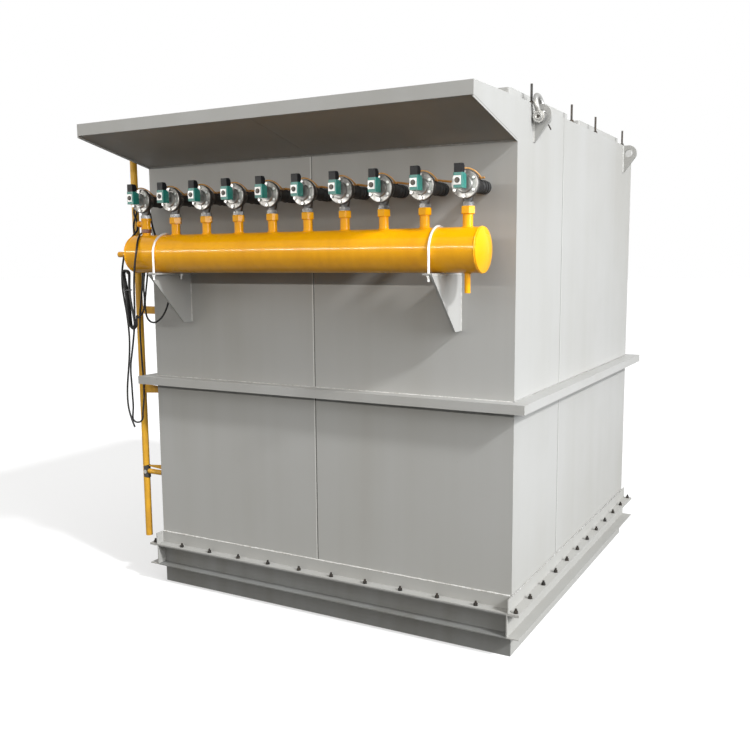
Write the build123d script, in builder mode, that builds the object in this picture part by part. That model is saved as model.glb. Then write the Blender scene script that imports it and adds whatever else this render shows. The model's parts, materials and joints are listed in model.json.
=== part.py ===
from build123d import *
from math import asin, atan2, cos, degrees, pi, radians, sin, tan
import os

# Baghouse dust collector: a welded steel housing on a channel frame, with an air
# header and a row of pulse valves under a canopy on its front.
# Millimetres. X runs along the front wall to the right, Y to the back, Z up.
# The origin lies in the middle of the front skirt's bottom face.

# Housing
width = 2300.0
depth = 2300.0
wall_sheet = 5.0
roof_edge_z = 2745.0
roof_sheet = 5.0
seam_gap = 3.0
front_seam_x = 0.0
side_seam_y = 720.0
joint_bar_width = 60.0
joint_bar_thick = 6.0

# Base: skirt plates, channel frame and bolted angle flange
skirt_inset = 6.0
skirt_plate = 8.0
skirt_height = 122.0
channel_height = 126.0
channel_reach = 61.0
channel_plate = 6.0
angle_upright = 75.0
angle_reach = 61.0
angle_plate = 6.0

# Stiffening ring halfway up the walls, a square-cornered tube
ring_bottom_z = 1260.0
ring_height = 47.0
ring_reach = 81.0
ring_plate = 5.0

# Canopy over the front wall
canopy_reach = 536.0
canopy_wall_z = 2553.0
canopy_lip_bottom_z = 2673.0
canopy_lip_top_z = 2730.0
canopy_plate = 5.0
canopy_side_drop = 10.0

# Lids on the roof
lid_length = 935.0
lid_front_gap = 46.0
lid_rear_gap = 148.0
lid_edge_inset = 60.0
lid_middle_gap = 60.0
lid_height = 58.0
lid_sheet = 4.0
lid_corner_radius = 12.0
stud_radius = 6.0
stud_length = 96.0
stud_edge_inset = 12.0
stud_front_gap = 175.0
stud_rear_gap = 85.0

# Lifting lugs on the side walls
lug_end_gap = 235.0
lug_plate = 20.0
lug_hole_radius = 25.0
lug_hole_reach = 36.0
lug_hole_z = 2690.0
lug_round_radius = 52.0
lug_tail_z = 2565.0
lug_tail_reach = 6.0

# Bow shackle in the front right lug
shackle_pin_radius = 14.0
shackle_bar_radius = 12.7
shackle_jaw = 43.0
shackle_eye_radius = 29.5
shackle_eye_thick = 26.0
shackle_bow_radius = 47.2
shackle_length = 108.0
shackle_straight = 20.0
shackle_lean = 12.0
shackle_seat_gap = 0.3
shackle_pin_overhang = 3.0
shackle_collar_radius = 21.0
shackle_collar_thick = 7.0
shackle_tab_radius = 19.0
shackle_tab_thick = 12.0
shackle_tab_hole_radius = 8.0

# Air header and its brackets
header_radius = 106.0
header_wall = 6.0
header_half_length = 1062.0
header_stand_off = 210.0
header_z = 2041.0
cap_thick = 8.0
cap_crown = 22.0
inlet_radius = 16.5
inlet_bore_radius = 13.0
inlet_length = 147.0
drain_radius = 14.0
drain_bore_radius = 10.5
drain_from_end = 72.0
drain_length = 93.0
bracket_x = 863.0
bracket_reach = 342.0
bracket_drop = 290.0
bracket_toe = 72.0
bracket_gusset = 12.0
bracket_shelf_width = 50.0
bracket_shelf_thick = 8.0
strap_x = 843.0
strap_radius = 6.0
strap_tail = 30.0
strap_hole_gap = 1.0
strap_nut_radius = 11.0
strap_nut_thick = 10.0

# Pulse valves, one above each header stub. The first one has a tee below it.
valve_count = 10
valve_pitch = 220.0
stub_radius = 24.0
stub_bore_radius = 20.0
stub_top_z = 2205.0
union_across = 60.0
union_top_z = 2241.0
union_chamfer = 3.0
tee_drop = 24.0
tee_radius = 25.0
tee_band = 4.0
tee_band_height = 13.0
tee_arm_radius = 14.0
tee_arm_bore_radius = 10.0
tee_arm_reach = 56.0
valve_axis_z = 2338.0
collar_across = 52.0
collar_height = 18.0
neck_radius = 21.0
neck_flare_width = 76.0
neck_flare_depth = 42.0
neck_flare_drop = 32.0
body_radius = 58.0
body_back = 22.0
body_draft = 12.0
body_front = 28.0
flange_radius = 65.0
flange_thick = 9.0
gasket_thick = 3.0
gasket_overhang = 1.0
gasket_bore_radius = 44.0
cover_rim_thick = 11.0
cover_rim_fillet = 3.0
cover_dome_radius = 41.0
cover_dome_height = 10.0
cover_dome_draft = 25.0
cover_bolts = 6
cover_bolt_circle = 54.0
cover_boss_radius = 8.5
cover_boss_height = 4.0
cover_rib_width = 5.0
plunger_radius = 11.0
plunger_length = 18.0
coil_width = 46.0
coil_depth = 50.0
coil_height = 68.0
coil_corner_radius = 5.0
coil_slant_depth = 22.0
coil_slant_drop = 11.0
coil_raise = 12.0
plug_width = 38.0
plug_depth = 34.0
plug_height = 41.0
plug_set_back = 2.0
plug_top_depth = 24.0
plug_bevel_drop = 11.0
plug_foot_depth = 28.0
plug_foot_height = 8.0
gland_radius = 8.5
gland_length = 14.0
gland_height = 20.0
outlet_radius = 24.0
hose_radius = 30.0
hose_length = 95.0
sleeve_clear = 8.0
grommet_radius = 32.0
grommet_thick = 22.0

# Rubber block beside the first hose, where the cables start
clamp_width = 36.0
clamp_length = 70.0
clamp_height = 44.0
seat_gap = 0.3

# The valves' leads: how far each corner lies from its valve's middle in X, then its
# Y and Z, from the gland to the trunk that runs behind the valves.
lead_radius = 3.5
trunk_radius = 5.0
trunk_y = -130.0
trunk_z = 2374.0
trunk_rest = 25.0
trunk_sag = 14.0
trunk_end = 45.0
lead_route = (
    (0, -290, 2404),
    (0, -277, 2404),
    (8, -264, 2409),
    (24, -253, 2406),
    (46, -243, 2394),
    (62, -231, 2374),
    (57, -205, 2363),
    (42, -172, 2366),
    (25, -149, 2374),
    (25, -130, 2374),
)

# Cables that hang below the rubber block, as the corners of their routes. The first
# ends bare, the next two go back into the block and the last goes into its own coil.
cable_radius = 5.5
corner_share = 0.45
cable_routes = {
    "hanging_cable_left": (
        (-1056.3, -166, 2338), (-1086, -166, 2338), (-1112, -167, 2327), (-1128, -169, 2304),
        (-1130, -172, 2274), (-1099, -178, 2227), (-1089, -186, 2198), (-1085, -194, 2178),
        (-1089, -210, 2161), (-1095, -228, 2140), (-1100, -250, 2109), (-1113, -260, 2074),
        (-1131, -262, 2032), (-1149, -258, 1983), (-1167, -250, 1926), (-1177, -242, 1856),
        (-1172, -236, 1783), (-1159, -234, 1707), (-1151, -232, 1625), (-1149, -230, 1543),
        (-1160, -226, 1447), (-1180, -222, 1344), (-1194, -222, 1247), (-1195, -222, 1157),
        (-1178, -222, 1085), (-1146, -222, 1021),
    ),
    "hanging_cable_loop": (
        (-1047, -178, 2316), (-1047, -178, 2286), (-1046, -177, 2256), (-1045, -177, 2224),
        (-1045, -182, 2194), (-1040, -196, 2170), (-1028, -221, 2158), (-1013, -249, 2153),
        (-991, -281, 2139), (-977, -308, 2116), (-957, -339, 2066), (-964, -344, 2019),
        (-975, -343, 1964), (-991, -335, 1897), (-1007, -322, 1823), (-1018, -312, 1749),
        (-1026, -307, 1680), (-1045, -296, 1604), (-1092, -262, 1524), (-1154, -213, 1452),
        (-1215, -164, 1390), (-1259, -122, 1322), (-1279, -98, 1262), (-1289, -86, 1179),
        (-1290, -82, 1119), (-1296, -81, 1075), (-1300, -82, 1043), (-1295, -79, 1025),
        (-1283, -70, 1013), (-1267, -58, 1013), (-1255, -49, 1023), (-1250, -46, 1041),
        (-1248, -46, 1077), (-1243, -40, 1135), (-1241, -34, 1213), (-1247, -31, 1299),
        (-1248, -35, 1393), (-1245, -42, 1511), (-1239, -50, 1610), (-1223, -58, 1702),
        (-1201, -66, 1787), (-1179, -72, 1872), (-1170, -76, 1955), (-1175, -84, 2038),
        (-1187, -96, 2106), (-1192, -110, 2165), (-1184, -124, 2218), (-1146, -132, 2276),
        (-1134, -137, 2308), (-1112, -140, 2330), (-1084, -140, 2338), (-1056.3, -140, 2338),
    ),
    "hanging_cable_short": (
        (-1029, -152, 2316), (-1029, -152, 2286), (-1019, -150, 2260), (-1018, -146, 2217),
        (-1011, -138, 2172), (-1003, -124, 2123), (-993, -108, 2071), (-978, -98, 2013),
        (-963, -92, 1949), (-955, -90, 1879), (-950, -94, 1815), (-955, -102, 1757),
        (-977, -106, 1706), (-1012, -106, 1665), (-1056, -104, 1639), (-1101, -98, 1639),
        (-1138, -90, 1662), (-1156, -84, 1707), (-1158, -80, 1768), (-1149, -76, 1839),
        (-1136, -74, 1916), (-1118, -80, 1990), (-1097, -94, 2061), (-1078, -112, 2124),
        (-1047, -142, 2184), (-1036, -168, 2248), (-1029, -178, 2284), (-1029, -178, 2316),
    ),
    "hanging_cable_coiled": (
        (-1047, -152, 2316), (-1047, -152, 2284), (-1051, -148, 2250), (-1058, -131, 2214),
        (-1096, -118, 2154), (-1107, -110, 2087), (-1122, -100, 2020), (-1133, -98, 1952),
        (-1143, -100, 1884), (-1141, -106, 1825), (-1126, -116, 1770), (-1121, -130, 1720),
        (-1119, -156, 1686), (-1113, -193, 1669), (-1076, -228, 1688), (-1076, -264, 1688),
    ),
}
coil_top = (-1110.0, 1928.0)
coil_bottom = (-1072.0, 1640.0)
coil_end_radius = 26.0
coil_y = -275.0
coil_thick = 22.0

# Riser pipe beside the left wall
riser_radius = 21.0
riser_bore_radius = 17.0
riser_x = -1311.0
riser_from_front = 40.0
riser_bottom_z = 262.0
riser_top_z = 2640.0
riser_plate = 6.0
branch_z = 682.0
branch_radius = 16.0
branch_bore_radius = 13.0
saddle_thick = 4.0
saddle_radius = 42.0
collar_root_radius = 33.0
collar_tip_radius = 19.0
branch_collar_length = 24.0

# The plates that hold the riser: the middle's height, then how tall each is at the
# pipe and at the wall.
riser_plate_sizes = ((1703.0, 46.0, 46.0), (1212.0, 56.0, 38.0), (718.0, 8.0, 32.0))

# Worked out from the sizes above
half_width = width / 2
front_y = -(skirt_inset + skirt_plate / 2)
rear_y = front_y + depth
side_seam = front_y + side_seam_y
channel_top_z = skirt_height + channel_height
wall_top_z = roof_edge_z - roof_sheet
header_y = front_y - header_stand_off
drain_x = header_half_length - drain_from_end
valve_xs = [(i - (valve_count - 1) / 2) * valve_pitch for i in range(valve_count)]
tee_x = valve_xs[0]
tee_bottom_z = stub_top_z - tee_drop

os.makedirs("parts", exist_ok=True)


def save(name, shape):
    shape.label = name
    export_step(shape, f"parts/{name}.step")


# Base frame. The skirt plates stand on edge and pass up behind the channels.
skirt_face = half_width - skirt_inset

skirt_end_ys = [front_y + skirt_inset + skirt_plate / 2, rear_y - skirt_inset - skirt_plate / 2]
stand_on_floor = (Align.CENTER, Align.CENTER, Align.MIN)
with BuildPart() as skirt_ends:
    with Locations([(0, y, 0) for y in skirt_end_ys]):
        Box(2 * skirt_face, skirt_plate, channel_top_z, align=stand_on_floor)
save("skirt_ends", skirt_ends.part)

side_skirt_length = depth - 2 * (skirt_inset + skirt_plate)
side_skirt_x = skirt_face - skirt_plate / 2
with BuildPart() as skirt_sides:
    with Locations([(side * side_skirt_x, front_y + depth / 2, 0) for side in (-1, 1)]):
        Box(skirt_plate, side_skirt_length, channel_top_z, align=stand_on_floor)
save("skirt_sides", skirt_sides.part)


# Channels and angles are drawn as sections that open outwards from the wall's plane:
# the section's X is the distance outwards, its Y the height.
def channel_section():
    with BuildSketch(mode=Mode.PRIVATE) as section:
        with BuildLine():
            Polyline(
                (-skirt_inset, skirt_height),
                (channel_reach, skirt_height),
                (channel_reach, skirt_height + channel_plate),
                (-skirt_inset + channel_plate, skirt_height + channel_plate),
                (-skirt_inset + channel_plate, channel_top_z - channel_plate),
                (channel_reach, channel_top_z - channel_plate),
                (channel_reach, channel_top_z),
                (-skirt_inset, channel_top_z),
                close=True,
            )
        make_face()
    return section.sketch


def angle_section():
    with BuildSketch(mode=Mode.PRIVATE) as section:
        with BuildLine():
            Polyline(
                (0, channel_top_z),
                (angle_reach, channel_top_z),
                (angle_reach, channel_top_z + angle_plate),
                (angle_plate, channel_top_z + angle_plate),
                (angle_plate, channel_top_z + angle_upright),
                (0, channel_top_z + angle_upright),
                close=True,
            )
        make_face()
    return section.sketch


def ring_section():
    with BuildSketch(mode=Mode.PRIVATE) as section:
        with Locations((ring_reach / 2, ring_bottom_z + ring_height / 2)):
            Rectangle(ring_reach, ring_height)
            Rectangle(ring_reach - 2 * ring_plate, ring_height - 2 * ring_plate, mode=Mode.SUBTRACT)
    return section.sketch


# Planes at the left end of a front or rear bar and at the front end of a side bar.
def end_bar_plane(rear):
    x_dir = (0, 1, 0) if rear else (0, -1, 0)
    z_dir = (1, 0, 0) if rear else (-1, 0, 0)
    return Plane(origin=(0, rear_y if rear else front_y, 0), x_dir=x_dir, z_dir=z_dir)


def side_bar_plane(side):
    origin = (side * half_width, front_y + depth / 2, 0)
    return Plane(origin=origin, x_dir=(side, 0, 0), z_dir=(0, -side, 0))


# Seen from above, the ring's bars are trapezoids, mitred where they meet.
def ring_plan(ends):
    inner = [(half_width, front_y), (half_width, rear_y), (-half_width, rear_y), (-half_width, front_y)]
    outer = [
        (half_width + ring_reach, front_y - ring_reach),
        (half_width + ring_reach, rear_y + ring_reach),
        (-half_width - ring_reach, rear_y + ring_reach),
        (-half_width - ring_reach, front_y - ring_reach),
    ]
    with BuildSketch(Plane.XY.offset(ring_bottom_z), mode=Mode.PRIVATE) as plan:
        for first in (1, 3) if ends else (0, 2):
            second = (first + 1) % 4
            with BuildLine():
                Polyline(inner[first], outer[first], outer[second], inner[second], close=True)
            make_face()
    return plan.sketch


bars = (
    ("channel", channel_section(), skirt_face, channel_reach, False),
    ("flange", angle_section(), half_width, angle_reach, False),
    ("ring", ring_section(), half_width + ring_reach, ring_reach, True),
)
for kind, section, half_span, reach, mitred in bars:
    with BuildPart() as end_bars:
        for rear in (False, True):
            with BuildSketch(end_bar_plane(rear)):
                add(section)
            extrude(amount=half_span, both=True)
        if mitred:
            extrude(ring_plan(ends=True), amount=ring_height, mode=Mode.INTERSECT)
    save(f"{kind}_ends", end_bars.part)
    with BuildPart() as side_bars:
        for side in (-1, 1):
            with BuildSketch(side_bar_plane(side)):
                add(section)
            extrude(amount=depth / 2 + reach, both=True)
        if mitred:
            extrude(ring_plan(ends=False), amount=ring_height, mode=Mode.INTERSECT)
    save(f"{kind}_sides", side_bars.part)


# Walls. The side sheets run from the front face to the rear face, and their front
# sheets carry on as the ends of the canopy.
inner_half = half_width - wall_sheet
panel_height = wall_top_z - channel_top_z
for name, y_low in (("front_wall", front_y), ("rear_wall", rear_y - wall_sheet)):
    for half, side in (("left", -1), ("right", 1)):
        x_seam = front_seam_x + side * seam_gap / 2
        x_edge = side * inner_half
        with BuildPart() as end_panel:
            with Locations(((x_seam + x_edge) / 2, y_low + wall_sheet / 2, channel_top_z)):
                Box(abs(x_edge - x_seam), wall_sheet, panel_height, align=stand_on_floor)
        save(f"{name}_{half}", end_panel.part)

canopy_slope = (canopy_lip_bottom_z - canopy_wall_z) / canopy_reach
for name, side in (("left_wall", -1), ("right_wall", 1)):
    sheet_x = side * (half_width - wall_sheet / 2)
    sheet_plane = Plane(origin=(sheet_x, 0, 0), x_dir=(0, 1, 0), z_dir=(1, 0, 0))
    with BuildPart() as front_panel:
        with BuildSketch(sheet_plane):
            with BuildLine():
                Polyline(
                    (front_y, channel_top_z),
                    (side_seam - seam_gap / 2, channel_top_z),
                    (side_seam - seam_gap / 2, wall_top_z),
                    (front_y, wall_top_z),
                    (front_y - canopy_reach, canopy_lip_top_z),
                    (front_y - canopy_reach, canopy_lip_bottom_z - canopy_side_drop),
                    (front_y, canopy_wall_z - canopy_side_drop),
                    close=True,
                )
            make_face()
        extrude(amount=wall_sheet / 2, both=True)
    save(f"{name}_front", front_panel.part)
    with BuildPart() as rear_panel:
        rear_start_y = side_seam + seam_gap / 2
        with Locations((sheet_x, (rear_start_y + rear_y) / 2, channel_top_z)):
            Box(wall_sheet, rear_y - rear_start_y, panel_height, align=stand_on_floor)
    save(f"{name}_rear", rear_panel.part)

# Flat bars behind the seams, welded to both sheets.
with BuildPart() as joint_bars:
    for y_bar in (front_y + wall_sheet + joint_bar_thick / 2, rear_y - wall_sheet - joint_bar_thick / 2):
        with Locations((front_seam_x, y_bar, channel_top_z)):
            Box(joint_bar_width, joint_bar_thick, panel_height, align=stand_on_floor)
    for side in (-1, 1):
        with Locations((side * (inner_half - joint_bar_thick / 2), side_seam, channel_top_z)):
            Box(joint_bar_thick, joint_bar_width, panel_height, align=stand_on_floor)
save("joint_bars", joint_bars.part)

# Roof sheet on the walls and four lids on it, each a shallow tray turned over.
lid_width = half_width - lid_edge_inset - lid_middle_gap / 2
lid_xs = [side * (lid_middle_gap + lid_width) / 2 for side in (-1, 1)]
lid_ys = [
    front_y + lid_front_gap + lid_length / 2,
    rear_y - lid_rear_gap - lid_length / 2,
]
with BuildPart() as roof_sheet_part:
    with Locations((0, front_y + depth / 2, wall_top_z)):
        Box(width, depth, roof_sheet, align=stand_on_floor)
save("roof_plate", roof_sheet_part.part)

with BuildPart() as lid:
    with BuildSketch(Plane.XY.offset(roof_edge_z)):
        RectangleRounded(lid_width, lid_length, lid_corner_radius)
    extrude(amount=lid_height)
    offset(amount=-lid_sheet, openings=lid.faces().sort_by(Axis.Z)[0])
with BuildPart() as lids:
    with Locations([(x, y, 0) for x in lid_xs for y in lid_ys]):
        add(lid.part)
save("roof_lids", lids.part)

# Upright clamp studs along both roof edges, two beside each lid.
stud_ys = []
for lid_y in lid_ys:
    stud_ys += [lid_y - lid_length / 2 + stud_front_gap, lid_y + lid_length / 2 - stud_rear_gap]
with BuildPart() as studs:
    for side in (-1, 1):
        for stud_y in stud_ys:
            with Locations((side * (half_width - stud_edge_inset), stud_y, roof_edge_z)):
                Cylinder(stud_radius, stud_length, align=stand_on_floor)
save("roof_studs", studs.part)

# Canopy: two sheets underneath, a top sheet and a lip, between the side sheets.
canopy_front = front_y - canopy_reach
canopy_rise = canopy_plate * (1 + canopy_slope**2) ** 0.5
lip_back = canopy_front + canopy_plate
underside_front_z = canopy_lip_bottom_z - canopy_slope * canopy_plate
with BuildPart() as underside:
    for side in (-1, 1):
        with BuildSketch(Plane(origin=(side * seam_gap / 2, 0, 0), x_dir=(0, 1, 0), z_dir=(1, 0, 0))):
            with BuildLine():
                Polyline(
                    (front_y, canopy_wall_z),
                    (lip_back, underside_front_z),
                    (lip_back, underside_front_z + canopy_rise),
                    (front_y, canopy_wall_z + canopy_rise),
                    close=True,
                )
            make_face()
        extrude(amount=side * (inner_half - seam_gap / 2))
save("canopy_underside", underside.part)

with BuildPart() as lip:
    with Locations((0, canopy_front, canopy_lip_bottom_z)):
        Box(
            2 * inner_half,
            canopy_plate,
            canopy_lip_top_z - canopy_lip_bottom_z,
            align=(Align.CENTER, Align.MIN, Align.MIN),
        )
save("canopy_lip", lip.part)

with BuildPart() as canopy_top:
    with BuildSketch(Plane.YZ):
        with BuildLine():
            Polyline(
                (front_y, wall_top_z),
                (canopy_front, canopy_lip_top_z),
                (canopy_front, canopy_lip_top_z + canopy_plate),
                (front_y, wall_top_z + canopy_plate),
                close=True,
            )
        make_face()
    extrude(amount=half_width, both=True)
save("canopy_top", canopy_top.part)

# Lifting lugs: a plate on edge with a round head, a hole and a long tail.
lug_ys = (front_y + lug_end_gap, rear_y - lug_end_gap)
tail_out = lug_hole_reach - lug_tail_reach
tail_down = lug_hole_z - lug_tail_z
tail_slant = degrees(atan2(tail_out, tail_down))
lug_round_turn = tail_slant + degrees(asin(lug_round_radius / (tail_out**2 + tail_down**2) ** 0.5))


def lug_outline():
    """The lug's face: X is the distance out from the wall, Y the height."""
    with BuildSketch(mode=Mode.PRIVATE) as outline:
        with BuildLine():
            head_top = (0, lug_hole_z + lug_round_radius)
            tail = (lug_tail_reach, lug_tail_z)
            head = CenterArc((lug_hole_reach, lug_hole_z), lug_round_radius, 90, -90 - lug_round_turn)
            Polyline(head @ 1, tail, (0, lug_tail_z), head_top, head @ 0)
        make_face()
        with Locations((lug_hole_reach, lug_hole_z)):
            Circle(lug_hole_radius, mode=Mode.SUBTRACT)
    return outline.sketch


for name, side in (("lugs_left", -1), ("lugs_right", 1)):
    with BuildPart() as lugs:
        for lug_y in lug_ys:
            lug_origin = (side * half_width, lug_y, 0)
            with BuildSketch(Plane(origin=lug_origin, x_dir=(side, 0, 0), z_dir=(0, -side, 0))):
                add(lug_outline())
            extrude(amount=lug_plate / 2, both=True)
    save(name, lugs.part)

# Bow shackle, leaning in over the roof's edge. It turns about the pin, which lies
# on the bottom of the lug's hole.
pin_x = half_width + lug_hole_reach
pin_y = lug_ys[0]
pin_z = lug_hole_z - lug_hole_radius + shackle_pin_radius + shackle_seat_gap
lean = radians(shackle_lean)
shackle_plane = Plane(origin=(pin_x, pin_y, pin_z), x_dir=(0, 1, 0), z_dir=(cos(lean), 0, sin(lean)))
ear_y = (shackle_jaw + shackle_eye_thick) / 2
bow_centre = shackle_length - shackle_bow_radius
leg_bulge = shackle_bow_radius - ear_y
leg_rise = bow_centre - shackle_straight
leg_turn = 2 * atan2(leg_bulge, leg_rise)
leg_radius = leg_rise / (2 * sin(leg_turn))
leg_angle = degrees(leg_turn)
pin_plane = Plane(origin=(pin_x, pin_y, pin_z), x_dir=(1, 0, 0), z_dir=(0, 1, 0))

with BuildPart() as bow:
    with BuildLine(shackle_plane) as bow_line:
        Line((ear_y, 0), (ear_y, shackle_straight))
        CenterArc((ear_y + leg_radius, shackle_straight), leg_radius, 180, -leg_angle)
        CenterArc((shackle_bow_radius - leg_radius, bow_centre), leg_radius, -leg_angle, leg_angle)
        CenterArc((0, bow_centre), shackle_bow_radius, 0, 180)
        CenterArc((leg_radius - shackle_bow_radius, bow_centre), leg_radius, 180, leg_angle)
        CenterArc((-ear_y - leg_radius, shackle_straight), leg_radius, leg_angle, -leg_angle)
        Line((-ear_y, shackle_straight), (-ear_y, 0))
    bow_wire = bow_line.wire()
    with BuildSketch(Plane(origin=bow_wire @ 0, z_dir=bow_wire % 0)):
        Circle(shackle_bar_radius)
    sweep(path=bow_wire)
    for side in (-1, 1):
        with BuildSketch(pin_plane.offset(side * ear_y)):
            Circle(shackle_eye_radius)
        extrude(amount=shackle_eye_thick / 2, both=True)
    with BuildSketch(pin_plane):
        Circle(shackle_pin_radius + shackle_seat_gap)
    extrude(amount=shackle_jaw + shackle_eye_thick, both=True, mode=Mode.SUBTRACT)
save("shackle_bow", bow.part)

pin_end = shackle_jaw / 2 + shackle_eye_thick
with BuildPart() as pin:
    with BuildSketch(pin_plane.offset(-pin_end - shackle_pin_overhang)):
        Circle(shackle_pin_radius)
    extrude(amount=2 * pin_end + shackle_pin_overhang)
    with BuildSketch(pin_plane.offset(pin_end)):
        Circle(shackle_collar_radius)
    extrude(amount=shackle_collar_thick)
    tab_plane = Plane(
        origin=(pin_x, pin_y + pin_end + shackle_collar_thick + shackle_tab_radius, pin_z),
        x_dir=(0, 1, 0),
        z_dir=(cos(lean), 0, sin(lean)),
    )
    with BuildSketch(tab_plane):
        Circle(shackle_tab_radius)
        Rectangle(shackle_tab_radius, shackle_tab_radius, align=(Align.MAX, Align.CENTER))
        Circle(shackle_tab_hole_radius, mode=Mode.SUBTRACT)
    extrude(amount=shackle_tab_thick / 2, both=True)
save("shackle_pin", pin.part)

# Air header: a closed pipe with a flat-dished end plate at each end.
header_plane = Plane(origin=(0, header_y, header_z), x_dir=(0, 1, 0), z_dir=(1, 0, 0))
with BuildPart() as header:
    with BuildSketch(header_plane):
        Circle(header_radius)
        Circle(header_radius - header_wall, mode=Mode.SUBTRACT)
    extrude(amount=header_half_length, both=True)
save("header_pipe", header.part)

crown_radius = (header_radius**2 + cap_crown**2) / (2 * cap_crown)
crown_angle = asin(header_radius / crown_radius)
crown_centre = cap_thick + cap_crown - crown_radius
with BuildPart() as caps:
    for side in (-1, 1):
        cap_origin = (side * header_half_length, header_y, header_z)
        with BuildSketch(Plane(origin=cap_origin, x_dir=(side, 0, 0), z_dir=(0, -side, 0))):
            with BuildLine():
                Polyline((cap_thick + cap_crown, 0), (0, 0), (0, header_radius), (cap_thick, header_radius))
                ThreePointArc(
                    (cap_thick, header_radius),
                    (crown_centre + crown_radius * cos(crown_angle / 2), crown_radius * sin(crown_angle / 2)),
                    (cap_thick + cap_crown, 0),
                )
            make_face()
        revolve(axis=Axis(cap_origin, (1, 0, 0)))
save("header_caps", caps.part)

with BuildPart() as inlet:
    inlet_start = header_half_length + cap_thick + cap_crown
    with BuildSketch(Plane(origin=(-inlet_start, header_y, header_z), x_dir=(0, 1, 0), z_dir=(-1, 0, 0))):
        Circle(inlet_radius)
        Circle(inlet_bore_radius, mode=Mode.SUBTRACT)
    extrude(amount=header_half_length + inlet_length - inlet_start)
save("header_inlet", inlet.part)

with BuildPart() as drain:
    with BuildSketch(Plane.XY.offset(header_z - header_radius - drain_length)):
        with Locations((drain_x, header_y)):
            Circle(drain_radius)
            Circle(drain_bore_radius, mode=Mode.SUBTRACT)
    extrude(until=Until.NEXT, target=header.part)
save("header_drain", drain.part)

# Brackets: a gusset on the front wall with a shelf along its top, and a U-bolt.
shelf_top_z = header_z - header_radius
shelf_low_z = shelf_top_z - bracket_shelf_thick
strap_ring_radius = header_radius + strap_radius
strap_end_z = shelf_low_z - strap_tail
with BuildPart() as brackets:
    for side in (-1, 1):
        with BuildSketch(Plane(origin=(side * bracket_x, 0, 0), x_dir=(0, 1, 0), z_dir=(1, 0, 0))):
            with BuildLine():
                Polyline(
                    (front_y, shelf_low_z),
                    (front_y - bracket_reach, shelf_low_z),
                    (front_y - bracket_toe, shelf_top_z - bracket_drop),
                    (front_y, shelf_top_z - bracket_drop),
                    close=True,
                )
            make_face()
        extrude(amount=bracket_gusset / 2, both=True)
        with Locations((side * (bracket_x + bracket_gusset / 2), front_y, shelf_low_z)):
            shelf_align = Align.MAX if side > 0 else Align.MIN
            Box(
                bracket_shelf_width,
                bracket_reach,
                bracket_shelf_thick,
                align=(shelf_align, Align.MAX, Align.MIN),
            )
        leg_ys = [header_y + end * strap_ring_radius for end in (-1, 1)]
        with Locations([(side * strap_x, leg_y, shelf_low_z) for leg_y in leg_ys]):
            Cylinder(
                strap_radius + strap_hole_gap,
                bracket_shelf_thick,
                align=stand_on_floor,
                mode=Mode.SUBTRACT,
            )
save("header_brackets", brackets.part)

with BuildPart() as straps:
    for side in (-1, 1):
        strap_plane = Plane(origin=(side * strap_x, header_y, 0), x_dir=(0, 1, 0), z_dir=(1, 0, 0))
        with BuildLine(strap_plane) as strap_line:
            Line((strap_ring_radius, strap_end_z), (strap_ring_radius, header_z))
            CenterArc((0, header_z), strap_ring_radius, 0, 180)
            Line((-strap_ring_radius, header_z), (-strap_ring_radius, strap_end_z))
        strap_wire = strap_line.wire()
        with BuildSketch(Plane(origin=strap_wire @ 0, z_dir=strap_wire % 0)):
            Circle(strap_radius)
        sweep(path=strap_wire)
        with BuildSketch(Plane.XY.offset(shelf_low_z)):
            with Locations([(side * strap_x, header_y + end * strap_ring_radius) for end in (-1, 1)]):
                RegularPolygon(strap_nut_radius, 6)
        extrude(amount=-strap_nut_thick)
save("header_straps", straps.part)

# Valve stubs and union nuts. The first stub is shorter and carries a tee instead,
# with a side arm to the left.
with BuildPart() as stubs:
    with BuildSketch(Plane.XY.offset(stub_top_z)):
        with Locations([(x, header_y) for x in valve_xs[1:]]):
            Circle(stub_radius)
            Circle(stub_bore_radius, mode=Mode.SUBTRACT)
    extrude(until=Until.NEXT, target=header.part, dir=(0, 0, -1))
    with BuildSketch(Plane.XY.offset(tee_bottom_z)):
        with Locations((tee_x, header_y)):
            Circle(stub_radius)
            Circle(stub_bore_radius, mode=Mode.SUBTRACT)
    extrude(until=Until.NEXT, target=header.part, dir=(0, 0, -1))
save("valve_stubs", stubs.part)

with BuildPart() as unions:
    with BuildSketch(Plane.XY.offset(stub_top_z)):
        with Locations([(x, header_y) for x in valve_xs[1:]]):
            RegularPolygon(union_across / 2, 6, major_radius=False)
            Circle(stub_bore_radius, mode=Mode.SUBTRACT)
    extrude(amount=union_top_z - stub_top_z)
    rims = unions.edges().filter_by(GeomType.LINE).group_by(Axis.Z)
    chamfer(rims[0] + rims[-1], length=union_chamfer)
save("union_nuts", unions.part)

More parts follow.
